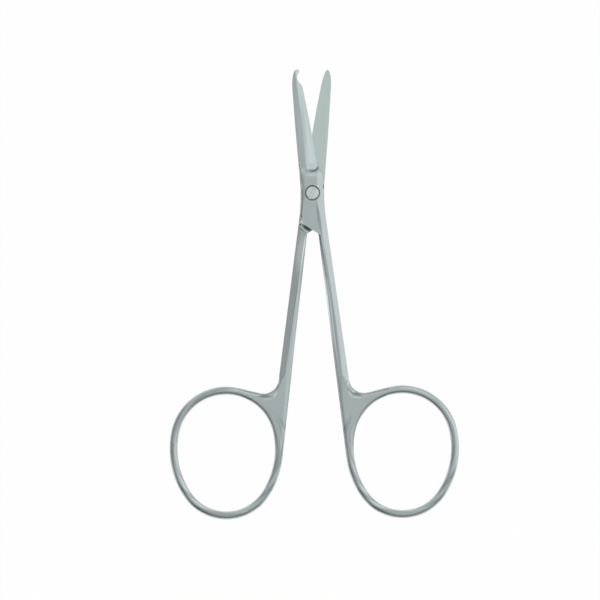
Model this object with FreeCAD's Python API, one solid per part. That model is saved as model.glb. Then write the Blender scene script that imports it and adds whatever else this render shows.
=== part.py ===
import FreeCAD, Part
import math
import os
from FreeCAD import Vector

# Suture scissors: two forged halves that cross at a lap joint, held by one slotted screw.
# The scissors lie flat. +Y points to the blade tips, +Z up, and the pivot is the Z axis.
# Each half is drawn closed, with its finger ring on +X and its blade's back on -X. The lower
# half is then mirrored, and both are turned apart by half of the opening. Millimetres, degrees.

# Opening and stack at the pivot
opening_angle = 13.42
half_thickness = 1.5
lap_clearance = 0.02
ring_thickness = 2.35

# Finger ring, measured from the pivot
ring_center_y = -53.05
ring_lean = 6.6
hole_height = 22.95
hole_top_radius = 9.42
hole_bottom_radius = 8.34
hole_side_radius = 15.28
ring_band = 1.53

# Shank between the ring and the joint
inner_gap = 0.18
shank_top_width = 2.06
shank_top_y = -8.0
shank_foot_width = 2.55
shank_foot_y = -36.2
edge_bevel_size = 0.46

# Broad facet along the ring side of the shank and the joint
facet_heel = 0.8
facet_joint = 1.4
facet_top = 1.7
facet_foot = 1.15
facet_fade = 2.6
facet_slope = 0.42
inner_facet_fade = 12.0
inner_facet_slope = 0.18

# Gusset between the shank and the ring
gusset_fall = 7.0
valley_radius = 3.0

# Ring side of the joint
joint_waist = 2.02
joint_waist_y = -4.0
pivot_side = 2.32
heel_side = 2.5
heel_y = 1.9
heel_end_side = 2.12
heel_end_y = 4.1
edge_lead = 1.62
edge_lead_y = 5.6

# Back of the joint and the diagonal shoulder under it
box_corner_x = -3.26
box_corner_y = -5.24
box_flare_x = -2.6
box_flare_y = -2.45
back_at_pivot = -2.22
back_at_heel = -2.14
crotch_y = -7.9
core_x = 1.0
shoulder_gap = 0.3
back_bevel_size = 0.4

# Blade
blade_start_y = 7.0
edge_start = 1.52
edge_middle = 1.17
edge_middle_y = 14.0
edge_end = 0.6
edge_end_below = 3.25
back_start = -1.97
back_middle = -1.7
back_end = -1.38
back_end_below = 3.8
stock_end_above = 3.6
stock_end_taper = 0.3
tip_reach = 24.4

# Grinding of the blade's outer face
blade_base_height = 1.1
blade_tip_height = 0.62
edge_thickness = 0.12
grind_radius = 5.0
grind_angle = 38.0
back_facet_start = 1.5
back_facet_end = 1.1
back_facet_slope = 0.2
runout_x = 0.4
runout_y = 6.75
runout_radius = 2.8
runout_slope = 0.6
runout_spread = 7.0

# Hollow grinding of the blade's inner face
hollow_radius = 8.0
hollow_depth = 0.09
hollow_start_y = 3.4
hollow_land = 0.3

# Hook, with its notch between lip and barb, measured below the tip's reach
lip_x = 0.12
lip_below = 2.5
notch_root_x = -0.16
notch_root_below = 1.95
barb_x = 0.3
barb_below = 0.65
nose_x = 0.36
nose_below = 0.28

# Round backs of the two tips: x, and the distance below the tip's reach
hook_crown = [(0.2, 0.03), (-0.13, -0.09), (-0.66, 0.27), (-1.02, 1.3), (-1.31, 2.5)]
plain_crown = [(0.5, 2.3), (0.35, 1.5), (0.13, 0.45), (-0.38, -0.17), (-0.98, 0.75), (-1.31, 2.4)]

# Pivot screw
screw_diameter = 1.5
screw_clearance = 0.03
head_diameter = 2.5
head_height = 0.72
head_round = 0.12
counterbore_diameter = 2.92
counterbore_depth = 0.8
slot_width = 0.5
slot_depth = 0.38
slot_angle = 69.0

# Room for the cutting shapes to run past the metal
spare = 2.0
reach = 80.0

joint_thickness = 2 * half_thickness
mating_height = half_thickness
stock_height = joint_thickness + spare
edge_end_y = tip_reach - edge_end_below
back_end_y = tip_reach - back_end_below
stock_end_y = tip_reach + stock_end_above
ring_foot_y = ring_center_y - hole_height / 2 - ring_band
side_fall = (joint_thickness - ring_thickness) / -ring_foot_y
blade_fall = (blade_base_height - blade_tip_height) / (tip_reach - runout_y)
edge_lean = (edge_start - edge_end) / (edge_end_y - blade_start_y)
shoulder_slope = (crotch_y - box_corner_y) / -box_corner_x


def spline(points, start=None, end=None):
    """A smooth curve through the points, with given end directions if any."""
    curve = Part.BSplineCurve()
    if start is None:
        curve.interpolate(Points=points)
    else:
        curve.interpolate(Points=points, InitialTangent=start, FinalTangent=end)
    return curve.toShape()


def drawn_curve(poles):
    """A smooth curve that is pulled towards its poles and never swings past them."""
    curve = Part.BSplineCurve()
    curve.buildFromPoles(poles, False, 3)
    return curve.toShape()


def polyline(points):
    return [Part.LineSegment(a, b).toShape() for a, b in zip(points, points[1:])]


def prism(edges, bottom, height):
    wire = Part.Wire(Part.__sortEdges__(edges))
    face = Part.Face(wire)
    face.translate(Vector(0, 0, bottom))
    return face.extrude(Vector(0, 0, height))


def side_height(y):
    """Top of the handle, which tapers from the joint to the ring."""
    return joint_thickness + side_fall * y


def blade_height(y):
    """Flat of the blade's outer face, which falls towards the tip."""
    return mating_height + blade_base_height - blade_fall * (y - runout_y)


def space_below(height_at):
    """Everything under a plane whose height depends on y alone."""
    corners = [Vector(-reach, -reach, -reach), Vector(-reach, -reach, height_at(-reach)),
               Vector(-reach, reach, height_at(reach)), Vector(-reach, reach, -reach)]
    face = Part.Face(Part.makePolygon(corners + corners[:1]))
    return face.extrude(Vector(2 * reach, 0, 0))


def direction(angle):
    return Vector(math.cos(math.radians(angle)), math.sin(math.radians(angle)), 0)


def egg_centers():
    """Centres of the hole's four arcs: top, bottom, left side and right side."""
    up = direction(90 - ring_lean)
    right = direction(-ring_lean)
    spacing = hole_height - hole_top_radius - hole_bottom_radius
    to_top = hole_side_radius - hole_top_radius
    to_bottom = hole_side_radius - hole_bottom_radius
    drop = (to_top ** 2 - to_bottom ** 2 + spacing ** 2) / (2 * spacing)
    aside = math.sqrt(to_top ** 2 - drop ** 2)
    top = Vector(0, ring_center_y, 0) + up * (spacing / 2)
    left = top - up * drop + right * aside
    shift = Vector(inner_gap + ring_band + hole_side_radius - left.x, 0, 0)
    return top + shift, top - up * spacing + shift, left + shift, left - right * (2 * aside) + shift


def arc(center, radius, start, end):
    """An arc by its centre, from one direction to another, in degrees."""
    middle = center + direction((start + end) / 2) * radius
    return Part.Arc(center + direction(start) * radius, middle, center + direction(end) * radius).toShape()


def heading(start, end):
    return math.degrees(math.atan2(end.y - start.y, end.x - start.x)) % 360


def egg_arcs(band, start, end):
    """The ring's outline a band outside its hole, from a heading on the left round to one on top."""
    top, bottom, left, right = egg_centers()
    lower_left = heading(left, bottom)
    lower_right = heading(right, bottom)
    upper_right = lower_right + (heading(right, top) - lower_right) % 360
    arcs = [arc(left, hole_side_radius + band, start, lower_left)]
    arcs.append(arc(bottom, hole_bottom_radius + band, lower_left, lower_right))
    arcs.append(arc(right, hole_side_radius + band, lower_right, upper_right))
    arcs.append(arc(top, hole_top_radius + band, upper_right, end))
    return arcs


def crossing(point, along, other, other_along):
    """Where two lines cross, each given by a point and a direction."""
    across = along.x * other_along.y - along.y * other_along.x
    apart = other - point
    return point + along * ((apart.x * other_along.y - apart.y * other_along.x) / across)


def handle_outline():
    """Ring, gusset, shank and the ring side of the joint, up to the start of the blade."""
    top, _, left, _ = egg_centers()
    inner_foot = left - Vector(hole_side_radius + ring_band, 0, 0)
    inner_top = Vector(inner_gap, blade_start_y, 0)
    inner = Part.LineSegment(inner_top, inner_foot).toShape()
    ring = egg_arcs(ring_band, 180, 450 + gusset_fall)

    foot = Vector(shank_foot_width, shank_foot_y, 0)
    shank_top = Vector(shank_top_width, shank_top_y, 0)
    shank_direction = (shank_top - foot).normalize()
    gusset_direction = direction(180 + gusset_fall)
    gusset_start = top + direction(90 + gusset_fall) * (hole_top_radius + ring_band)
    valley = crossing(gusset_start, gusset_direction, foot, shank_direction)
    bend = gusset_direction.getAngle(shank_direction)
    back_off = valley_radius * math.tan(bend / 2)
    valley_start = valley - gusset_direction * back_off
    valley_end = valley + shank_direction * back_off
    inward = (shank_direction - gusset_direction).normalize()
    valley_middle = valley + inward * (valley_radius / math.cos(bend / 2) - valley_radius)
    gusset = polyline([gusset_start, valley_start])
    gusset.append(Part.Arc(valley_start, valley_middle, valley_end).toShape())
    outer = Part.LineSegment(valley_end, shank_top).toShape()

    side = [shank_top, Vector(joint_waist, joint_waist_y, 0), Vector(pivot_side, 0, 0),
            Vector(heel_side, heel_y, 0), Vector(heel_end_side, heel_end_y, 0),
            Vector(edge_lead, edge_lead_y, 0), Vector(edge_start, blade_start_y, 0)]
    joint_side = spline(side, shank_direction, Vector(-edge_lean, 1, 0).normalize())
    end = Part.LineSegment(side[-1], inner_top).toShape()
    return [inner] + ring + gusset + [outer, joint_side, end]


def bevelled(solid, size, wanted):
    """Bevels the edges round a prism's top and bottom, where the given test holds."""
    rims = []
    for edge in solid.Edges:
        box = edge.BoundBox
        level = box.ZLength < half_thickness
        if level and wanted(box):
            rims.append(edge)
    return solid.makeChamfer(size, rims)


def handle_stock():
    top, _, left, _ = egg_centers()
    upper_left = heading(left, top)
    hole = egg_arcs(0, upper_left, upper_left + 360)
    stock = prism(handle_outline(), 0, stock_height)
    stock = stock.cut(prism(hole, -spare, stock_height + 2 * spare))
    stock = stock.common(space_below(side_height))
    return bevelled(stock, edge_bevel_size, lambda box: box.YMin < blade_start_y - spare)


def blade_stock():
    """Blade and the back of the joint box, longer than the finished blade."""
    back_points = [Vector(box_corner_x, box_corner_y, 0), Vector(box_flare_x, box_flare_y, 0),
                   Vector(back_at_pivot, 0, 0), Vector(back_at_heel, heel_y, 0),
                   Vector(back_start, blade_start_y, 0), Vector(back_middle, edge_middle_y, 0),
                   Vector(back_end, back_end_y, 0), Vector(back_end + stock_end_taper, stock_end_y, 0)]
    edge_first = Vector(edge_start, blade_start_y, 0)
    edge_last = Vector(edge_end, edge_end_y, 0)
    edge = Part.Arc(edge_first, Vector(edge_middle, edge_middle_y, 0), edge_last).toShape()
    far_corner = Vector(edge_end - stock_end_taper, stock_end_y, 0)
    bottom = Vector(core_x, crotch_y + shoulder_slope * core_x, 0)
    rest = polyline([edge_last, far_corner, back_points[-1]])
    heel = polyline([back_points[0], bottom, Vector(core_x, heel_y, 0), edge_first])
    stock = prism([spline(back_points), edge] + rest + heel, 0, stock_height)
    stock = stock.common(space_below(side_height))
    return bevelled(stock, back_bevel_size, lambda box: box.YLength > reach / 4 and box.XMax < core_x)


def facet_line():
    """Inner border of the broad facet, from below the shank's foot to the start of the blade."""
    return [(shank_foot_width + spare / 10, shank_foot_y - facet_fade),
            (shank_foot_width - facet_foot, shank_foot_y),
            (shank_top_width - facet_top, shank_top_y),
            (joint_waist - facet_joint, joint_waist_y), (pivot_side - facet_joint, 0),
            (heel_side - facet_joint, heel_y), (heel_end_side - facet_heel, heel_end_y),
            (edge_lead, edge_lead_y)]


def inner_facet_line():
    """Outer border of the shallow facet on the shank's other side, which runs out in the gusset."""
    return [(inner_gap - lap_clearance, shank_foot_y - inner_facet_fade),
            (shank_foot_width - facet_foot, shank_foot_y), (shank_top_width - facet_top, shank_top_y)]


def facet_tool(line, slope, width, height_at, side):
    """Wedge over a facet that falls across the width: side 1 for the top, side -1 underneath."""
    sections = []
    for x, y in line:
        border = Vector(x, y, height_at(y))
        low = border + Vector(width, 0, -abs(width) * slope * side)
        high = border + Vector(width, 0, spare * side)
        sections.append(Part.makePolygon([border, low, high, border]))
    return Part.makeLoft(sections, True, True)


def faceted(stock):
    """The stock with its broad and its shallow facets, on top and underneath."""
    for height_at, side in ((side_height, 1), (lambda y: 0, -1)):
        stock = stock.cut(facet_tool(facet_line(), facet_slope, 2 * spare, height_at, side))
        inner = facet_tool(inner_facet_line(), inner_facet_slope, -spare, height_at, side)
        stock = stock.cut(inner)
    return stock


def lap_tool():
    """Takes away the other half's share of the thickness above the diagonal shoulder."""
    slope = -shoulder_slope
    start_y = crotch_y - shoulder_gap * math.hypot(1, slope)
    left = Vector(-reach, start_y - slope * reach, 0)
    right = Vector(reach, start_y + slope * reach, 0)
    area = polyline([left, right, Vector(reach, 2 * reach, 0), Vector(-reach, 2 * reach, 0), left])
    return prism(area, -spare, mating_height + lap_clearance / 2 + spare)


def runout_wire(level, radius):
    """U-shaped edge of the ground area: round at the joint and open past the tip."""
    spread = math.radians(runout_spread)
    far = stock_end_y + spare
    side_x = radius * math.cos(spread)
    side_y = runout_y + radius * math.sin(-spread)
    left = Vector(runout_x - side_x, side_y, level)
    right = Vector(runout_x + side_x, side_y, level)
    bottom = Vector(runout_x, runout_y - radius, level)
    lean = (far - side_y) * math.tan(spread)
    far_left = Vector(left.x - lean, far, level)
    far_right = Vector(right.x + lean, far, level)
    curve = Part.Arc(left, bottom, right).toShape()
    return Part.Wire([curve] + polyline([right, far_right, far_left, left]))


def edge_bevel():
    """A long cylinder whose side is the round bevel that meets the inner face at the edge."""
    along = Vector(-edge_lean, 1, 0).normalize()
    across = Vector(along.y, -along.x, 0)
    slope = math.radians(grind_angle)
    edge = Vector(edge_start, blade_start_y, mating_height + edge_thickness)
    drop = Vector(0, 0, grind_radius * math.cos(slope))
    axis = edge - across * (grind_radius * math.sin(slope)) - drop
    return Part.makeCylinder(grind_radius, 2 * stock_end_y, axis - along * stock_end_y, along)


def back_facet():
    """A wedge over the shallow facet that slopes from the blade's crest to its back."""
    start = Vector(back_start + back_facet_start, runout_y, blade_height(runout_y))
    end = Vector(back_end + back_facet_end, back_end_y, blade_height(back_end_y))
    wide = 2 * spare
    sections = []
    for crest in (start * 2 - end, end * 2 - start):
        low = crest + Vector(-wide, 0, -wide * back_facet_slope)
        high = crest + Vector(wide, 0, wide * back_facet_slope)
        sections.append(Part.makePolygon([low, high, crest + Vector(-wide, 0, wide), low]))
    return Part.makeLoft(sections, True, True)


def grind_tool():
    """The metal ground off the outer face: all inside the run-out but the finished blade."""
    blade = edge_bevel().common(space_below(blade_height)).cut(back_facet())
    low = mating_height + edge_thickness / 4
    low_radius = runout_radius - runout_slope * (joint_thickness - low)
    high_radius = runout_radius + runout_slope * (stock_height - joint_thickness)
    wires = [runout_wire(low, low_radius), runout_wire(stock_height, high_radius)]
    return Part.makeLoft(wires, True, True).cut(blade)


def hollow_tool():
    """A long shallow channel in the inner face that runs out towards the tip."""
    middle_start = (edge_start + back_start + hollow_land) / 2
    middle_end = (edge_end + back_end + hollow_land) / 2
    start = Vector(middle_start, hollow_start_y, mating_height + hollow_depth - hollow_radius)
    end = Vector(middle_end, back_end_y, mating_height + hollow_depth / 4 - hollow_radius)
    return Part.makeCylinder(hollow_radius, tip_reach, start, end - start)


def tip_limit(edges):
    """What a tip's outline, given from the edge side to the back, leaves of the whole half."""
    first = edges[0].Vertexes[0].Point
    last = edges[-1].Vertexes[-1].Point
    corners = [Vector(-reach, last.y, 0), Vector(-reach, -reach, 0), Vector(reach, -reach, 0),
               Vector(reach, first.y, 0)]
    return prism(edges + polyline([last] + corners + [first]), -spare, stock_height + 2 * spare)


def crown(first, pulls):
    """Round end of a blade, from its first point over the tip to the blade's back."""
    poles = [Vector(x, tip_reach - below, 0) for x, below in pulls]
    return drawn_curve([first] + poles + [Vector(back_end, back_end_y, 0)])


def hook_tip():
    shoulder = Vector(edge_end, edge_end_y, 0)
    lip = Vector(lip_x, tip_reach - lip_below, 0)
    barb = Vector(barb_x, tip_reach - barb_below, 0)
    nose = Vector(nose_x, tip_reach - nose_below, 0)
    root = Vector(notch_root_x, tip_reach - notch_root_below, 0)
    notch = Part.Arc(lip, root, barb).toShape()
    return polyline([shoulder, lip]) + [notch] + polyline([barb, nose]) + [crown(nose, hook_crown)]


def plain_tip():
    return [crown(Vector(edge_end, edge_end_y, 0), plain_crown)]


def flipped(tool):
    """The same tool for the half whose blade faces down."""
    return tool.mirror(Vector(0, 0, mating_height), Vector(0, 0, 1))


def half(tip, face_down):
    stock = faceted(handle_stock().fuse(blade_stock()).removeSplitter())
    tools = [lap_tool(), grind_tool(), hollow_tool()]
    if face_down:
        tools = [flipped(tool) for tool in tools]
    for tool in tools:
        stock = stock.cut(tool)
    return stock.common(tip_limit(tip)).removeSplitter()


def placed(shape, angle):
    turned = shape.copy()
    turned.rotate(Vector(0, 0, 0), Vector(0, 0, 1), angle)
    return turned


def hooked_half():
    """Upper half, with the hooked blade and the seat of the screw's head."""
    shape = half(hook_tip(), False)
    hole = Part.makeCylinder(screw_diameter / 2 + screw_clearance, stock_height)
    floor = joint_thickness - counterbore_depth
    counterbore = Part.makeCylinder(counterbore_diameter / 2, stock_height, Vector(0, 0, floor))
    return placed(shape.cut(hole).cut(counterbore), opening_angle / 2)


def plain_half():
    """Lower half, with the plain blade and the hole that holds the screw."""
    shape = half(plain_tip(), True).mirror(Vector(0, 0, 0), Vector(1, 0, 0))
    hole = Part.makeCylinder(screw_diameter / 2, stock_height + spare, Vector(0, 0, -spare))
    return placed(shape.cut(hole), -opening_angle / 2)


def pivot_screw():
    """Slotted screw: its head turns in the counterbore, its end is flush underneath."""
    seat = joint_thickness - counterbore_depth + lap_clearance
    head = Part.makeCylinder(head_diameter / 2, head_height, Vector(0, 0, seat))
    rim = [edge for edge in head.Edges if edge.BoundBox.ZMin > seat + head_height / 2 and edge.Closed]
    head = head.makeFillet(head_round, rim)
    body = Part.makeCylinder(screw_diameter / 2, seat + head_height / 4)
    slot_floor = seat + head_height - slot_depth
    slot_corner = Vector(-head_diameter, -slot_width / 2, slot_floor)
    slot = Part.makeBox(2 * head_diameter, slot_width, spare, slot_corner)
    slot.rotate(Vector(0, 0, 0), Vector(0, 0, 1), slot_angle)
    return placed(head.fuse(body).cut(slot).removeSplitter(), -opening_angle / 2)


def main():
    os.makedirs("parts", exist_ok=True)
    nodes = {"hooked_half": hooked_half(), "plain_half": plain_half(), "pivot_screw": pivot_screw()}
    for name, shape in nodes.items():
        solid = shape.Solids[0]
        solid.exportStep("parts/" + name + ".step")
        print(name, len(shape.Solids), solid.isValid(), round(solid.Volume, 2))


main()
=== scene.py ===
import math

import bmesh
import bpy
from mathutils import Matrix, Vector


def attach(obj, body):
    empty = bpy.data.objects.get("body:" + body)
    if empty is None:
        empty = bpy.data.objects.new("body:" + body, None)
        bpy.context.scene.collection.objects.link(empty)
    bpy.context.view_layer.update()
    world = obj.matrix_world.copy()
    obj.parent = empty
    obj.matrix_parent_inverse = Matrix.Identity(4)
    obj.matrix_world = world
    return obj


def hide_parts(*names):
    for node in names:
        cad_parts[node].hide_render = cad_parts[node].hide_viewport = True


# Suture scissors on a white table, seen from straight above. Metres, tips towards +Y.

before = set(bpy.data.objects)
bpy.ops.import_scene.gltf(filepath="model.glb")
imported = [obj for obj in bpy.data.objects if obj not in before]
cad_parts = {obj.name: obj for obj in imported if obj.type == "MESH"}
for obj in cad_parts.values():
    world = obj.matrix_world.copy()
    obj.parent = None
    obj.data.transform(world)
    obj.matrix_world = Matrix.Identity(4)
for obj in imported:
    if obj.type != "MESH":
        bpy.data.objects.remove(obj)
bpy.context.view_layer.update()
halfOpening = math.radians(6.71)  # each half is turned this far from closed
mixShare, mixFirst, mixSecond, mixResult = 0, 6, 7, 2  # sockets of a Mix node for colours
valueFirst, valueSecond, valueResult = 2, 3, 0  # and for single values


def addNode(tree, kind, place, **settings):
    node = tree.nodes.new(kind)
    node.location = place
    for name, value in settings.items():
        setattr(node, name, value)
    return node


def newGroup(name, inputs, outputs):
    group = bpy.data.node_groups.new(name, "ShaderNodeTree")
    for label, kind, value in inputs:
        socket = group.interface.new_socket(label, in_out="INPUT", socket_type=kind)
        socket.default_value = value
    for label, kind in outputs:
        group.interface.new_socket(label, in_out="OUTPUT", socket_type=kind)
    return group


mottleLook = {"cloudDetail": 4, "speckScale": 3500, "speckFrom": 0.66, "speckTo": 0.8, "speckMost": 0.3,
              "speckTone": (0.9, 0.9, 0.9, 1)}


def makeMottleGroup():  # cloudy tone of satin steel, with a few fine specks
    group = newGroup("steelMottle", [("Light", "NodeSocketColor", (0.6, 0.65, 0.64, 1)),
                                     ("Dark", "NodeSocketColor", (0.5, 0.55, 0.54, 1)),
                                     ("Cloud Scale", "NodeSocketFloat", 160)],
                     [("Color", "NodeSocketColor"), ("Cloud", "NodeSocketFloat")])
    link = group.links.new
    inputs = addNode(group, "NodeGroupInput", (-900, 0))
    coords = addNode(group, "ShaderNodeTexCoord", (-900, -300))
    cloud = addNode(group, "ShaderNodeTexNoise", (-650, 100))
    cloud.inputs["Detail"].default_value = mottleLook["cloudDetail"]
    specks = addNode(group, "ShaderNodeTexNoise", (-650, -250))
    specks.inputs["Scale"].default_value = mottleLook["speckScale"]
    speckRange = addNode(group, "ShaderNodeMapRange", (-450, -250))
    speckRange.inputs["From Min"].default_value = mottleLook["speckFrom"]
    speckRange.inputs["From Max"].default_value = mottleLook["speckTo"]
    speckRange.inputs["To Max"].default_value = mottleLook["speckMost"]
    blend = addNode(group, "ShaderNodeMix", (-250, 100), data_type="RGBA")
    darken = addNode(group, "ShaderNodeMix", (0, 0), data_type="RGBA", blend_type="MULTIPLY")
    darken.inputs[mixSecond].default_value = mottleLook["speckTone"]
    outputs = addNode(group, "NodeGroupOutput", (250, 0))
    link(coords.outputs["Object"], cloud.inputs["Vector"])
    link(coords.outputs["Object"], specks.inputs["Vector"])
    link(inputs.outputs["Cloud Scale"], cloud.inputs["Scale"])
    link(cloud.outputs["Fac"], blend.inputs[mixShare])
    link(inputs.outputs["Dark"], blend.inputs[mixFirst])
    link(inputs.outputs["Light"], blend.inputs[mixSecond])
    link(specks.outputs["Fac"], speckRange.inputs["Value"])
    link(speckRange.outputs["Result"], darken.inputs[mixShare])
    link(blend.outputs[mixResult], darken.inputs[mixFirst])
    link(darken.outputs[mixResult], outputs.inputs["Color"])
    link(cloud.outputs["Fac"], outputs.inputs["Cloud"])
    return group


grindLook = {"detail": 2, "from": 0.3, "to": 0.7}


def makeGrindGroup():  # fine parallel lines left by the polishing belt
    group = newGroup("grindLines", [("Turn", "NodeSocketFloat", 0),
                                    ("Along", "NodeSocketFloat", 350),
                                    ("Across", "NodeSocketFloat", 12000),
                                    ("Smooth", "NodeSocketFloat", 0.24),
                                    ("Rough", "NodeSocketFloat", 0.36)],
                     [("Roughness", "NodeSocketFloat"), ("Height", "NodeSocketFloat")])
    link = group.links.new
    inputs = addNode(group, "NodeGroupInput", (-1100, 0))
    coords = addNode(group, "ShaderNodeTexCoord", (-1100, -250))
    turned = addNode(group, "ShaderNodeVectorRotate", (-850, -150), rotation_type="Z_AXIS")
    stretch = addNode(group, "ShaderNodeCombineXYZ", (-850, 100))
    scaled = addNode(group, "ShaderNodeVectorMath", (-620, 0), operation="MULTIPLY")
    lines = addNode(group, "ShaderNodeTexNoise", (-420, 0))
    lines.inputs["Scale"].default_value = 1
    lines.inputs["Detail"].default_value = grindLook["detail"]
    spread = addNode(group, "ShaderNodeMapRange", (-180, 100))
    spread.inputs["From Min"].default_value = grindLook["from"]
    spread.inputs["From Max"].default_value = grindLook["to"]
    outputs = addNode(group, "NodeGroupOutput", (60, 0))
    link(coords.outputs["Object"], turned.inputs["Vector"])
    link(inputs.outputs["Turn"], turned.inputs["Angle"])
    link(inputs.outputs["Across"], stretch.inputs["X"])
    link(inputs.outputs["Along"], stretch.inputs["Y"])
    link(inputs.outputs["Across"], stretch.inputs["Z"])
    link(turned.outputs["Vector"], scaled.inputs[0])
    link(stretch.outputs["Vector"], scaled.inputs[1])
    link(scaled.outputs["Vector"], lines.inputs["Vector"])
    link(lines.outputs["Fac"], spread.inputs["Value"])
    link(inputs.outputs["Smooth"], spread.inputs["To Min"])
    link(inputs.outputs["Rough"], spread.inputs["To Max"])
    link(spread.outputs["Result"], outputs.inputs["Roughness"])
    link(lines.outputs["Fac"], outputs.inputs["Height"])
    return group


markLook = {"patchScale": 700, "from": 0.2, "to": 0.6, "least": 0.4}


def makeMarkGroup(name, attribute):  # marked faces of a piece, broken up by noise
    group = newGroup(name, [("Amount", "NodeSocketFloat", 0.6)], [("Mask", "NodeSocketFloat")])
    link = group.links.new
    inputs = addNode(group, "NodeGroupInput", (-700, 0))
    coords = addNode(group, "ShaderNodeTexCoord", (-700, -250))
    edges = addNode(group, "ShaderNodeAttribute", (-450, 150), attribute_name=attribute)
    patches = addNode(group, "ShaderNodeTexNoise", (-450, -200))
    patches.inputs["Scale"].default_value = markLook["patchScale"]
    broken = addNode(group, "ShaderNodeMapRange", (-220, -150))
    broken.inputs["From Min"].default_value = markLook["from"]
    broken.inputs["From Max"].default_value = markLook["to"]
    broken.inputs["To Min"].default_value = markLook["least"]
    both = addNode(group, "ShaderNodeMath", (0, 50), operation="MULTIPLY")
    scaled = addNode(group, "ShaderNodeMath", (200, 0), operation="MULTIPLY")
    outputs = addNode(group, "NodeGroupOutput", (400, 0))
    link(coords.outputs["Object"], patches.inputs["Vector"])
    link(patches.outputs["Fac"], broken.inputs["Value"])
    link(edges.outputs["Fac"], both.inputs[0])
    link(broken.outputs["Result"], both.inputs[1])
    link(both.outputs["Value"], scaled.inputs[0])
    link(inputs.outputs["Amount"], scaled.inputs[1])
    link(scaled.outputs["Value"], outputs.inputs["Mask"])
    return group


def makeSpotGroup():  # soft ellipsoid of painted shade or painted highlight, in the place of a hollow, a corner or an edge
    group = newGroup("paintedLightSpot", [("Place", "NodeSocketVector", (0, 0, 0)), ("Turn", "NodeSocketFloat", 0),
                                  ("Size", "NodeSocketVector", (0.001, 0.001, 0.001)),
                                  ("Inner", "NodeSocketFloat", 0.4), ("Amount", "NodeSocketFloat", 1)],
                     [("Mask", "NodeSocketFloat")])
    link = group.links.new
    inputs = addNode(group, "NodeGroupInput", (-1000, 0))
    coords = addNode(group, "ShaderNodeTexCoord", (-1000, 250))
    moved = addNode(group, "ShaderNodeVectorMath", (-780, 150), operation="SUBTRACT")
    turned = addNode(group, "ShaderNodeVectorRotate", (-580, 100), rotation_type="Z_AXIS", invert=True)
    scaled = addNode(group, "ShaderNodeVectorMath", (-380, 50), operation="DIVIDE")
    reach = addNode(group, "ShaderNodeVectorMath", (-200, 50), operation="LENGTH")
    fade = addNode(group, "ShaderNodeMapRange", (0, 0), interpolation_type="SMOOTHSTEP")
    fade.inputs["From Max"].default_value = 1
    fade.inputs["To Max"].default_value = 0
    outputs = addNode(group, "NodeGroupOutput", (220, 0))
    link(coords.outputs["Object"], moved.inputs[0])
    link(inputs.outputs["Place"], moved.inputs[1])
    link(moved.outputs["Vector"], turned.inputs["Vector"])
    link(inputs.outputs["Turn"], turned.inputs["Angle"])
    link(turned.outputs["Vector"], scaled.inputs[0])
    link(inputs.outputs["Size"], scaled.inputs[1])
    link(scaled.outputs["Vector"], reach.inputs[0])
    link(reach.outputs["Value"], fade.inputs["Value"])
    link(inputs.outputs["Inner"], fade.inputs["From Min"])
    link(inputs.outputs["Amount"], fade.inputs["To Min"])
    link(fade.outputs["Result"], outputs.inputs["Mask"])
    return group


sideLook = {"steep": 0.3, "level": 0.74}  # upright share of a face's normal


def makeSideGroup():  # steep faces, darkened with painted shade
    group = newGroup("paintedSteepShade", [("Amount", "NodeSocketFloat", 1)], [("Mask", "NodeSocketFloat")])
    link = group.links.new
    inputs = addNode(group, "NodeGroupInput", (-700, -200))
    coords = addNode(group, "ShaderNodeTexCoord", (-700, 100))
    parts = addNode(group, "ShaderNodeSeparateXYZ", (-500, 100))
    upright = addNode(group, "ShaderNodeMath", (-300, 100), operation="ABSOLUTE")
    steep = addNode(group, "ShaderNodeMapRange", (-100, 0), interpolation_type="SMOOTHSTEP")
    steep.inputs["From Min"].default_value = sideLook["steep"]
    steep.inputs["From Max"].default_value = sideLook["level"]
    steep.inputs["To Max"].default_value = 0
    outputs = addNode(group, "NodeGroupOutput", (150, 0))
    link(coords.outputs["Normal"], parts.inputs["Vector"])
    link(parts.outputs["Z"], upright.inputs[0])
    link(upright.outputs["Value"], steep.inputs["Value"])
    link(inputs.outputs["Amount"], steep.inputs["To Min"])
    link(steep.outputs["Result"], outputs.inputs["Mask"])
    return group


ringLook = {"across": 1500, "detail": 1, "from": 0.44, "to": 0.58, "fadeFrom": 0.0085, "fadeTo": 0.0105}


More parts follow.
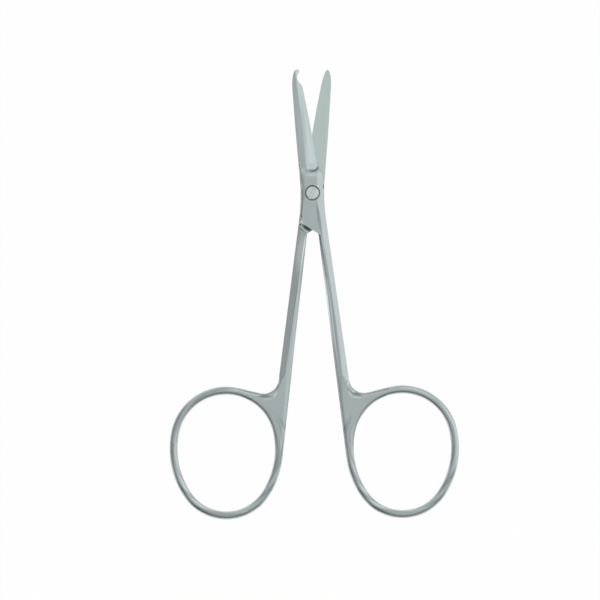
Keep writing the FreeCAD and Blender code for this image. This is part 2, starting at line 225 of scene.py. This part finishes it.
def makeRingGroup():  # long streaks round the finger rings, from the polishing cord
    group = newGroup("ringStreaks", [("Center", "NodeSocketVector", (0, 0, 0)),
                                     ("Shank", "NodeSocketVector", (0, 1, 0)),
                                     ("Amount", "NodeSocketFloat", 0.5)],
                     [("Mask", "NodeSocketFloat")])
    link = group.links.new
    inputs = addNode(group, "NodeGroupInput", (-1200, 0))
    coords = addNode(group, "ShaderNodeTexCoord", (-1200, 250))
    moved = addNode(group, "ShaderNodeVectorMath", (-1000, 150), operation="SUBTRACT")
    parts = addNode(group, "ShaderNodeSeparateXYZ", (-820, 150))
    reach = addNode(group, "ShaderNodeVectorMath", (-820, -50), operation="LENGTH")
    across = addNode(group, "ShaderNodeMath", (-640, -50), operation="MULTIPLY")
    across.inputs[1].default_value = ringLook["across"]
    bearing = addNode(group, "ShaderNodeMath", (-640, 150), operation="ARCTAN2")
    polar = addNode(group, "ShaderNodeCombineXYZ", (-460, 50))
    lines = addNode(group, "ShaderNodeTexNoise", (-280, 50))
    lines.inputs["Scale"].default_value = 1
    lines.inputs["Detail"].default_value = ringLook["detail"]
    sharp = addNode(group, "ShaderNodeMapRange", (-100, 50))
    sharp.inputs["From Min"].default_value = ringLook["from"]
    sharp.inputs["From Max"].default_value = ringLook["to"]
    toShank = addNode(group, "ShaderNodeVectorMath", (-460, -250), operation="DOT_PRODUCT")
    below = addNode(group, "ShaderNodeMapRange", (-100, -250), interpolation_type="SMOOTHSTEP")
    below.inputs["From Min"].default_value = ringLook["fadeFrom"]
    below.inputs["From Max"].default_value = ringLook["fadeTo"]
    below.inputs["To Min"].default_value = 1
    below.inputs["To Max"].default_value = 0
    both = addNode(group, "ShaderNodeMath", (100, 0), operation="MULTIPLY")
    scaled = addNode(group, "ShaderNodeMath", (280, 0), operation="MULTIPLY")
    outputs = addNode(group, "NodeGroupOutput", (460, 0))
    link(coords.outputs["Object"], moved.inputs[0])
    link(inputs.outputs["Center"], moved.inputs[1])
    link(moved.outputs["Vector"], parts.inputs["Vector"])
    link(moved.outputs["Vector"], reach.inputs[0])
    link(reach.outputs["Value"], across.inputs[0])
    link(parts.outputs["Y"], bearing.inputs[0])
    link(parts.outputs["X"], bearing.inputs[1])
    link(across.outputs["Value"], polar.inputs["X"])
    link(bearing.outputs["Value"], polar.inputs["Y"])
    link(polar.outputs["Vector"], lines.inputs["Vector"])
    link(lines.outputs["Fac"], sharp.inputs["Value"])
    link(moved.outputs["Vector"], toShank.inputs[0])
    link(inputs.outputs["Shank"], toShank.inputs[1])
    link(toShank.outputs["Value"], below.inputs["Value"])
    link(sharp.outputs["Result"], both.inputs[0])
    link(below.outputs["Result"], both.inputs[1])
    link(both.outputs["Value"], scaled.inputs[0])
    link(inputs.outputs["Amount"], scaled.inputs[1])
    link(scaled.outputs["Value"], outputs.inputs["Mask"])
    return group


mottle = makeMottleGroup()
grind = makeGrindGroup()
wear = makeMarkGroup("edgeWear", "edgeWear")  # edges rubbed brighter and smoother
paintedShadeMarks = makeMarkGroup("paintedShadeFaces", "paintedShade")  # painted shade on marked faces: ridge crease, screw seat, run-out wall, back chamfer, ring valleys
paintedLightSpot = makeSpotGroup()
ringStreak = makeRingGroup()
steepShadeGroup = makeSideGroup()
print("finish groups made")


steelDefaults = {"light": (0.63, 0.715, 0.71, 1), "dark": (0.56, 0.645, 0.64, 1), "cloud": 170,
                 "along": 350, "across": 9000, "smooth": 0.26, "rough": 0.33,
                 "bump": 0.05, "bumpDepth": 0.00001,
                 "wear": 0.4, "edge": (0.68, 0.76, 0.755, 1), "edgeRough": 0.22,
                 # the next two pairs: painted shade on marked faces, and painted shade on steep faces that
                 # also tints the ring streaks
                 "corner": 1.0, "cornerColor": (0.2, 0.24, 0.24, 1),
                 "side": 0.75, "streakAndSideShade": (0.36, 0.41, 0.41, 1),
                 "streak": 0.8, "ring": (0, 0.5, 0), "shank": (0, 1, 0), "spots": []}
nodeStep = 200  # between the color layers in the node editor


def addGroup(tree, group, place, values):
    node = addNode(tree, "ShaderNodeGroup", place, node_tree=group)
    for label, value in values.items():
        node.inputs[label].default_value = value
    return node


def makeSteel(name, turn, **changes):  # a tone, with one color after another laid over it by masks
    settings = dict(steelDefaults, **changes)
    material = bpy.data.materials.new(name)
    material.use_nodes = True
    tree = material.node_tree
    tree.nodes.clear()
    link = tree.links.new
    tone = addGroup(tree, mottle, (-1200, 600), {"Light": settings["light"], "Dark": settings["dark"],
                                                 "Cloud Scale": settings["cloud"]})
    streaks = addGroup(tree, ringStreak, (-1000, 900), {"Center": settings["ring"],
                                                        "Shank": settings["shank"],
                                                        "Amount": settings["streak"]})
    sides = addGroup(tree, steepShadeGroup, (-800, 900), {"Amount": settings["side"]})
    corners = addGroup(tree, paintedShadeMarks, (-600, 900), {"Amount": settings["corner"]})
    rubbed = addGroup(tree, wear, (-400, 900), {"Amount": settings["wear"]})
    # ring streaks and edge wear, with painted shade on steep and marked faces, then spots of painted shade
    # and highlight
    layers = [(streaks, settings["streakAndSideShade"]), (sides, settings["streakAndSideShade"]),
              (corners, settings["cornerColor"]), (rubbed, settings["edge"])]
    for spot in settings["spots"]:
        place = (nodeStep * len(layers) - 1000, 900)
        mask = addGroup(tree, paintedLightSpot, place, {"Place": spot["place"], "Turn": math.radians(spot["turn"]),
                                                "Size": spot["size"], "Inner": spot["inner"],
                                                "Amount": spot["amount"]})
        layers.append((mask, spot["color"]))
    shaded = tone.outputs["Color"]
    for count, (mask, color) in enumerate(layers):
        laid = addNode(tree, "ShaderNodeMix", (nodeStep * count - 1000, 600), data_type="RGBA")
        laid.inputs[mixSecond].default_value = color
        link(mask.outputs["Mask"], laid.inputs[mixShare])
        link(shaded, laid.inputs[mixFirst])
        shaded = laid.outputs[mixResult]
    lines = addGroup(tree, grind, (-700, 0), {"Turn": turn, "Along": settings["along"],
                                              "Across": settings["across"], "Smooth": settings["smooth"],
                                              "Rough": settings["rough"]})
    polish = addNode(tree, "ShaderNodeMix", (-350, 0), data_type="FLOAT")
    polish.inputs[valueSecond].default_value = settings["edgeRough"]
    bump = addNode(tree, "ShaderNodeBump", (-350, -250))
    bump.inputs["Strength"].default_value = settings["bump"]
    bump.inputs["Distance"].default_value = settings["bumpDepth"]
    shader = addNode(tree, "ShaderNodeBsdfPrincipled", (0, 0))
    shader.inputs["Metallic"].default_value = 1
    output = addNode(tree, "ShaderNodeOutputMaterial", (300, 0))
    link(rubbed.outputs["Mask"], polish.inputs[mixShare])
    link(lines.outputs["Roughness"], polish.inputs[valueFirst])
    link(lines.outputs["Height"], bump.inputs["Height"])
    link(shaded, shader.inputs["Base Color"])
    link(polish.outputs[valueResult], shader.inputs["Roughness"])
    link(bump.outputs["Normal"], shader.inputs["Normal"])
    link(shader.outputs["BSDF"], output.inputs["Surface"])
    return material


perMetre = 1000  # millimetres


def paintedLightMark(x, y, z, long, wide, deep, turn, color, amount=1.0, inner=0.3):  # a spot of painted shade or painted highlight; half sizes in millimetres
    return {"place": (x / perMetre, y / perMetre, z / perMetre),
            "size": (long / perMetre, wide / perMetre, deep / perMetre),
            "turn": turn, "color": (*color, 1), "amount": amount, "inner": inner}


# tones of painted shade and painted highlights
blackish = (0.1, 0.12, 0.12)
dusky = (0.2, 0.25, 0.25)
gray = (0.36, 0.41, 0.41)
smoky = (0.42, 0.475, 0.475)
dim = (0.46, 0.525, 0.52)
lightShade = (0.62, 0.7, 0.695)
mild = (0.7, 0.83, 0.8)
clear = (0.72, 0.815, 0.81)
soft = (0.76, 0.85, 0.84)
pale = (0.76, 0.87, 0.86)
highlightPale = (0.84, 0.95, 0.94)
bright = (0.86, 0.96, 0.95)
highlightWhite = (0.9, 0.97, 0.96)
# painted shade and highlights at the run-out of the grind
runoutPaintedLight = [paintedLightMark(0.0, 3.53, 2.9, 1.76, 0.47, 0.8, 0, pale, 0.9),  # painted highlight on the step below the run-out
               paintedLightMark(0.25, 5.37, 2.6, 1.57, 0.98, 1.6, 0, smoky, 0.55, 0.1),
               paintedLightMark(0.07, 4.39, 2.6, 1.88, 0.49, 1.2, 0, dusky, 1.0, 0.1),  # painted shade at the root of the run-out
               paintedLightMark(-1.62, 4.43, 3.0, 0.55, 0.88, 1.2, 0, mild, 0.7)]
boxPaintedLight = [paintedLightMark(-2.24, -5.62, 3.0, 0.74, 0.39, 0.6, -42, highlightWhite, 0.9),  # painted highlight on the corner of the box
            paintedLightMark(1.09, 1.31, 3.0, 0.25, 0.25, 0.6, 0, highlightWhite, 0.9),  # glint beside the screw
            paintedLightMark(-1.88, 1.0, 3.0, 3.92, 0.63, 0.8, 92, smoky, 0.9)]  # painted shade on the back of the box
facetPaintedShade = [paintedLightMark(3.53, -21.0, 2.8, 19.6, 0.47, 1.5, 98.02, gray),  # painted shade along the foot of the shank's facet
              paintedLightMark(1.37, -5.69, 3.0, 4.9, 0.45, 0.8, 98.02, gray, 1.0, 0.4),
              paintedLightMark(2.01, -13.54, 2.4, 5.88, 0.31, 1.6, 98.02, lightShade, 0.8, 0.5)]
ridgePaintedLight = [paintedLightMark(-1.58, 13.2, 2.3, 8.8, 0.52, 1.2, 95.8, dim, 0.9, 0.0),  # painted shade and highlight that round off the ridge
              paintedLightMark(-2.45, 13.2, 2.3, 8.8, 0.62, 1.2, 95.8, clear, 0.6, 0.0)]
# painted shade and highlights in the valleys where rings meet shanks
valleyLeftPaintedLight = [paintedLightMark(-9.69, -39.77, 2.4, 1.8, 0.31, 1.0, 0, dusky, 0.85),
              paintedLightMark(-9.11, -40.35, 2.5, 1.2, 0.22, 1.0, 8, highlightWhite, 0.6),
              paintedLightMark(-7.57, -39.53, 2.5, 1.0, 0.24, 1.0, 53, highlightWhite, 0.85)]
valleyRightPaintedLight = [paintedLightMark(7.04, -38.51, 2.4, 1.2, 0.36, 1.2, 120, smoky, 0.8),
               paintedLightMark(8.40, -39.46, 2.4, 1.5, 0.33, 1.0, -17, dusky, 0.9),
               paintedLightMark(8.44, -40.12, 2.5, 1.5, 0.24, 1.0, -6, highlightWhite, 0.8),
               paintedLightMark(7.07, -39.37, 2.5, 0.9, 0.24, 1.0, -52, highlightWhite, 0.7)]
# painted highlights along the inner side of the shanks
innerFacetHighlight = paintedLightMark(3.1, -21.8, 2.6, 13.5, 0.52, 1.0, 97.8, highlightPale, 0.85, 0.5)
innerEdgeHighlight = paintedLightMark(-2.96, -23.3, 2.3, 16.5, 0.34, 1.0, 82.57, soft, 0.85, 0.4)
innerFaceHighlight = paintedLightMark(-2.26, -11.54, 2.4, 5.88, 1.27, 1.2, 81.96, bright, 0.9)
gapPaintedShadow = [paintedLightMark(-1.11, -6.89, 1.5, 1.65, 0.59, 0.5, -33, blackish),  # painted shadow deep in the shoulder's gap
            paintedLightMark(-2.44, -6.21, 1.5, 0.39, 0.33, 2.0, -35, blackish, 0.8),
            paintedLightMark(-1.96, -7.27, 2.2, 1.37, 0.2, 1.6, -40, blackish, 0.8)]
# painted shade round the screw's seat
seatPaintedShade = [paintedLightMark(-1.0, 0.8, 3.0, 0.67, 0.18, 0.5, 48, blackish, 0.7),
             paintedLightMark(0.83, 1.04, 3.0, 0.55, 0.24, 0.5, -42, blackish, 0.85)]
heelPaintedShade = paintedLightMark(2.2, 1.2, 2.0, 0.24, 0.62, 2.0, 0, blackish, 0.8)  # painted shade at the heel of the box

# The blanks are belt polished lengthways, the blades are ground across.
satinHooked = makeSteel("satinHooked", -halfOpening, shank=(-0.6, 0.8, 0), ring=(0.01719, -0.04874, 0),
                        spots=runoutPaintedLight + boxPaintedLight + facetPaintedShade + seatPaintedShade + [heelPaintedShade] + valleyRightPaintedLight
                        + [innerFacetHighlight])
satinPlain = makeSteel("satinPlain", halfOpening, shank=(0.6, 0.8, 0), ring=(-0.01652, -0.04888, 0),
                       spots=gapPaintedShadow + [innerFaceHighlight, innerEdgeHighlight, heelPaintedShade] + valleyLeftPaintedLight)
groundHooked = makeSteel("groundHooked", math.pi / 2 - halfOpening, streak=0, bump=0.02,
                         smooth=0.27, rough=0.32, spots=runoutPaintedLight + ridgePaintedLight)
groundPlain = makeSteel("groundPlain", math.pi / 2 + halfOpening, streak=0, bump=0.02,
                        smooth=0.28, rough=0.31, light=(0.71, 0.835, 0.805, 1),
                        dark=(0.67, 0.79, 0.76, 1), spots=gapPaintedShadow + [heelPaintedShade])
slotTurn = math.radians(62)
screwSteel = makeSteel("turnedScrew", slotTurn, light=(0.92, 0.99, 0.97, 1), dark=(0.72, 0.8, 0.785, 1),
                       along=500, cloud=900, streak=0, smooth=0.16, rough=0.3,
                       cornerColor=(0.3, 0.35, 0.35, 1), spots=seatPaintedShade)
print("steels made")


def localPoint(point, turn, side):  # a point of a half as if it were closed, its ring on +X
    turned = Matrix.Rotation(-turn * side, 3, "Z") @ Vector(point)
    return Vector((turned.x * side, turned.y, turned.z))


def markFaces(faces, layer, value):
    for face in faces:
        for loop in face.loops:
            loop[layer] = value


offLine = 1  # far from every edge
lineTolerance = 0.00006


def lineAt(line, y):  # x of a polyline that runs along Y
    for (startY, startX), (endY, endX) in zip(line, line[1:]):
        if startY <= y <= endY:
            return startX + (endX - startX) * (y - startY) / (endY - startY)
    return offLine


def pickEdges(bm, settings, pick):
    low, high = pick["between"]
    least = math.radians(pick["angle"])
    chosen = []
    for edge in bm.edges:
        if len(edge.link_faces) != 2:
            continue
        ends = [localPoint(vert.co, settings["turn"], settings["side"]) for vert in edge.verts]
        if "line" in pick and any(abs(end.x - lineAt(pick["line"], end.y)) > lineTolerance for end in ends):
            continue
        if all(low < end.y < high for end in ends) and edge.calc_face_angle() > least:
            chosen.append(edge)
    return chosen


cleaning = {"merge": 2e-6, "flatAngle": 0.6}  # metres and degrees


def makePiece(settings):
    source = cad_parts[settings["node"]]
    bm = bmesh.new()
    bm.from_mesh(source.data)
    bmesh.ops.remove_doubles(bm, verts=bm.verts, dist=cleaning["merge"])
    bmesh.ops.dissolve_limit(bm, angle_limit=math.radians(cleaning["flatAngle"]), verts=bm.verts,
                             edges=bm.edges, use_dissolve_boundaries=False, delimit=set())
    layers = {"edgeWear": bm.loops.layers.float.new("edgeWear"),
              "paintedShade": bm.loops.layers.float.new("paintedShade")}
    for pick in settings["rounds"]:
        chosen = pickEdges(bm, settings, pick)
        if chosen:
            made = bmesh.ops.bevel(bm, geom=chosen, offset=pick["width"], offset_type="OFFSET",
                                   affect="EDGES", segments=pick["steps"], profile=0.5, material=-1,
                                   clamp_overlap=False)
            markFaces(made["faces"], layers[pick["mark"]], pick["strength"])
        print(settings["name"], pick["mark"], "edges softened", len(chosen))
    bmesh.ops.recalc_face_normals(bm, faces=bm.faces)
    marked = 0
    for face in bm.faces:
        face.smooth = True
        middle = localPoint(face.calc_center_median(), settings["turn"], settings["side"])
        face.material_index = 1 if middle.y > settings["groundFrom"] else 0
        flat = math.hypot(face.normal.x, face.normal.y)
        # faces in the listed boxes, tilted within range, get painted shade
        for spot in settings["spots"]:
            inside = all(low < value < high for low, value, high in zip(spot["low"], middle, spot["high"]))
            if inside and spot["tilt"][0] <= flat <= spot["tilt"][1]:
                markFaces([face], layers["paintedShade"], spot["strength"])
                marked += 1
    print(settings["name"], "faces darkened", marked)
    mesh = bpy.data.meshes.new(settings["name"])
    bm.to_mesh(mesh)
    bm.free()
    mesh.set_sharp_from_angle(angle=math.radians(settings["sharp"]))
    for material in settings["materials"]:
        mesh.materials.append(material)
    piece = bpy.data.objects.new(settings["name"], mesh)
    bpy.context.scene.collection.objects.link(piece)
    even = piece.modifiers.new("evenNormals", "WEIGHTED_NORMAL")
    even.keep_sharp = True
    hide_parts(settings["node"])
    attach(piece, settings["body"])
    return piece


# Lines are given by y and x, boxes by their low and high corners, all of a closed half.
ridgeLine = [(-0.0362, 0.0014), (-0.008, 0.00036), (-0.004, 0.00062), (0.0, 0.00092),
             (0.0019, 0.0011), (0.0041, 0.00132), (0.0056, 0.00162)]
# the ridge's rounding gets a little painted shade along the crease (none on the plain half)
ridgeRounds = [{"between": (-0.0363, -0.001), "line": ridgeLine, "angle": 8, "width": 0.00016, "steps": 3,
                "mark": "paintedShade", "strength": 0.1}]
bladeLine = [(0.0044, -0.00068), (0.00677, -0.00056), (0.00913, -0.00048), (0.01326, -0.00038),
             (0.01768, -0.00034), (0.02433, -0.00034)]
bladeRounds = [{"between": (0.0065, 0.0245), "line": bladeLine, "angle": 15, "width": 0.00018, "steps": 4,
                "mark": "paintedShade", "strength": 0.0}]
handleRounds = [{"between": (-0.038, -0.0085), "angle": 30, "width": 0.00017, "steps": 3,
                 "mark": "edgeWear", "strength": 0.6},
                {"between": (-0.08, -0.0375), "angle": 30, "width": 0.00029, "steps": 4,
                 "mark": "edgeWear", "strength": 0.3}]
# the seat's rounded edges get painted shade
seatRounds = [{"between": (-0.0016, 0.0016), "angle": 50, "width": 0.00008, "steps": 2,
               "mark": "paintedShade", "strength": 0.2}]
# boxes of faces that get painted shade, in a closed half
runoutWallShade = {"low": (-0.0035, 0.0025, 0.002), "high": (0.004, 0.0062, 0.0031), "tilt": (0.6, 0.98),
              "strength": 0.15}
screwSeatShade = {"low": (-0.0016, -0.0016, 0.0021), "high": (0.0016, 0.0016, 0.00299), "tilt": (0, 1),
             "strength": 0.5}
backChamferShade = {"low": (-0.0036, -0.0052, 0.0024), "high": (-0.0016, 0.0045, 0.0031), "tilt": (0.3, 0.95),
               "strength": 0.55}
valleyRimShade = {"low": (0.0025, -0.0416, 0.0012), "high": (0.0095, -0.0365, 0.0031), "tilt": (0.52, 0.88),
             "strength": 0.9}
headRimShade = {"low": (-0.0015, -0.0015, 0.0021), "high": (0.0015, 0.0015, 0.00305), "tilt": (0.3, 1),
           "strength": 0.3}
hookedHalf = {"name": "hookedScissorHalf", "node": "hooked_half", "body": "upper_half",
              "slot": "forged_steel", "turn": halfOpening, "side": 1, "sharp": 38,
              "groundFrom": 0.0045, "materials": [satinHooked, groundHooked],
              "rounds": ridgeRounds + bladeRounds + handleRounds + seatRounds,
              "spots": [valleyRimShade, runoutWallShade, screwSeatShade, backChamferShade]}
plainHalf = {"name": "plainScissorHalf", "node": "plain_half", "body": "lower_half",
             "slot": "forged_steel", "turn": halfOpening, "side": -1, "sharp": 38,
             "groundFrom": 0.0045, "materials": [satinPlain, groundPlain],
             "rounds": [dict(ridgeRounds[0], strength=0.0)] + bladeRounds + handleRounds,
             "spots": [valleyRimShade]}
pivotScrew = {"name": "pivotScrewHead", "node": "pivot_screw", "body": "lower_half",
              "slot": "screw_steel", "turn": 0, "side": 1, "sharp": 38, "groundFrom": 1,
              "materials": [screwSteel], "spots": [headRimShade],
              "rounds": [{"between": (-1, 1), "angle": 50, "width": 0.00004, "steps": 2,
                          "mark": "edgeWear", "strength": 1.0}]}
for piece in (hookedHalf, plainHalf, pivotScrew):
    makePiece(piece)
print("pieces made")


tableLook = {"halfSize": 20, "drop": -0.00001, "whiteShare": 0.985, "tone": (0.9, 0.9, 0.9, 1)}


def makeTable():  # white to the camera and to mirrors, and it keeps its shadow
    bm = bmesh.new()
    bmesh.ops.create_grid(bm, x_segments=1, y_segments=1, size=tableLook["halfSize"])
    bmesh.ops.translate(bm, verts=bm.verts, vec=(0, 0, tableLook["drop"]))
    mesh = bpy.data.meshes.new("whiteTable")
    bm.to_mesh(mesh)
    bm.free()
    table = bpy.data.objects.new("whiteTable", mesh)
    bpy.context.scene.collection.objects.link(table)
    material = bpy.data.materials.new("whiteTable")
    material.use_nodes = True
    tree = material.node_tree
    tree.nodes.clear()
    link = tree.links.new
    path = addNode(tree, "ShaderNodeLightPath", (-700, 0))
    seen = addNode(tree, "ShaderNodeMath", (-450, 100), operation="MAXIMUM")
    through = addNode(tree, "ShaderNodeMath", (-250, 100), operation="MAXIMUM")
    share = addNode(tree, "ShaderNodeMath", (-50, 100), operation="MULTIPLY")
    share.inputs[1].default_value = tableLook["whiteShare"]
    plain = addNode(tree, "ShaderNodeBsdfDiffuse", (-50, -100))
    plain.inputs["Color"].default_value = tableLook["tone"]
    white = addNode(tree, "ShaderNodeEmission", (-50, -250))
    mixed = addNode(tree, "ShaderNodeMixShader", (200, 0))
    output = addNode(tree, "ShaderNodeOutputMaterial", (400, 0))
    link(path.outputs["Is Camera Ray"], seen.inputs[0])
    link(path.outputs["Is Glossy Ray"], seen.inputs[1])
    link(seen.outputs["Value"], through.inputs[0])
    link(path.outputs["Is Transmission Ray"], through.inputs[1])
    link(through.outputs["Value"], share.inputs[0])
    link(share.outputs["Value"], mixed.inputs["Fac"])
    link(plain.outputs["BSDF"], mixed.inputs[1])
    link(white.outputs["Emission"], mixed.inputs[2])
    link(mixed.outputs["Shader"], output.inputs["Surface"])
    mesh.materials.append(material)


studio = {"bright": (0.95, 0.3, 0.0),
          "stops": [(0.0, 0.4), (0.16, 0.42), (0.33, 0.62), (0.5, 0.65), (0.66, 0.76), (0.84, 0.87),
                    (1.0, 0.93)],
          "front": [(0.0, 0.3), (0.3, 0.62), (0.5, 1.0)],
          "boxPlace": (0.5, 0.35, 0.6), "boxSize": 0.5, "boxPower": 0.12}


def setStops(ramp, wanted):
    stops = ramp.color_ramp.elements
    while len(stops) < len(wanted):
        stops.new(0.5)
    for stop, (place, level) in zip(stops, wanted):
        stop.position = place
        stop.color = (level, level, level, 1)


def makeStudio():  # a soft tent, brighter on the upper right, with one softbox there
    world = bpy.data.worlds.new("softTent")
    bpy.context.scene.world = world
    world.use_nodes = True
    tree = world.node_tree
    tree.nodes.clear()
    link = tree.links.new
    coords = addNode(tree, "ShaderNodeTexCoord", (-900, 0))
    facing = addNode(tree, "ShaderNodeVectorMath", (-700, 0), operation="DOT_PRODUCT")
    facing.inputs[1].default_value = Vector(studio["bright"]).normalized()
    share = addNode(tree, "ShaderNodeMapRange", (-500, 0))
    share.inputs["From Min"].default_value = -1
    ramp = addNode(tree, "ShaderNodeValToRGB", (-300, 0))
    setStops(ramp, studio["stops"])
    parts = addNode(tree, "ShaderNodeSeparateXYZ", (-700, -300))
    upDown = addNode(tree, "ShaderNodeMapRange", (-500, -300))
    upDown.inputs["From Min"].default_value = -1
    front = addNode(tree, "ShaderNodeValToRGB", (-300, -300))
    setStops(front, studio["front"])
    both = addNode(tree, "ShaderNodeMix", (0, -100), data_type="RGBA", blend_type="MULTIPLY")
    both.inputs[mixShare].default_value = 1
    back = addNode(tree, "ShaderNodeBackground", (200, 0))
    output = addNode(tree, "ShaderNodeOutputWorld", (400, 0))
    link(coords.outputs["Generated"], facing.inputs[0])
    link(coords.outputs["Generated"], parts.inputs["Vector"])
    link(parts.outputs["Y"], upDown.inputs["Value"])
    link(upDown.outputs["Result"], front.inputs["Fac"])
    link(ramp.outputs["Color"], both.inputs[mixFirst])
    link(front.outputs["Color"], both.inputs[mixSecond])
    link(facing.outputs["Value"], share.inputs["Value"])
    link(share.outputs["Result"], ramp.inputs["Fac"])
    link(both.outputs[mixResult], back.inputs["Color"])
    link(back.outputs["Background"], output.inputs["Surface"])
    lamp = bpy.data.lights.new("softbox", "AREA")
    lamp.size = studio["boxSize"]
    lamp.energy = studio["boxPower"]
    box = bpy.data.objects.new("softbox", lamp)
    box.location = studio["boxPlace"]
    box.rotation_euler = (-Vector(studio["boxPlace"])).to_track_quat("-Z", "Y").to_euler()
    bpy.context.scene.collection.objects.link(box)


view = {"middle": (-0.00259, -0.02095), "height": 1.0, "fieldWidth": 0.1176, "roll": -0.43,
        "level": 0.0015, "sensor": 36, "near": 0.01, "far": 100}  # the field is measured at mid thickness


def makeCamera():
    data = bpy.data.cameras.new("photoView")
    data.sensor_width = view["sensor"]
    data.lens = view["sensor"] * view["height"] / view["fieldWidth"]
    data.clip_start = view["near"]
    data.clip_end = view["far"]
    camera = bpy.data.objects.new("photoView", data)
    camera.location = (view["middle"][0], view["middle"][1], view["height"] + view["level"])
    camera.rotation_euler = (0, 0, math.radians(view["roll"]))
    bpy.context.scene.collection.objects.link(camera)
    bpy.context.scene.camera = camera


makeTable()
makeStudio()
makeCamera()
bpy.context.scene.view_settings.view_transform = "Standard"
print("table, lights and camera made")
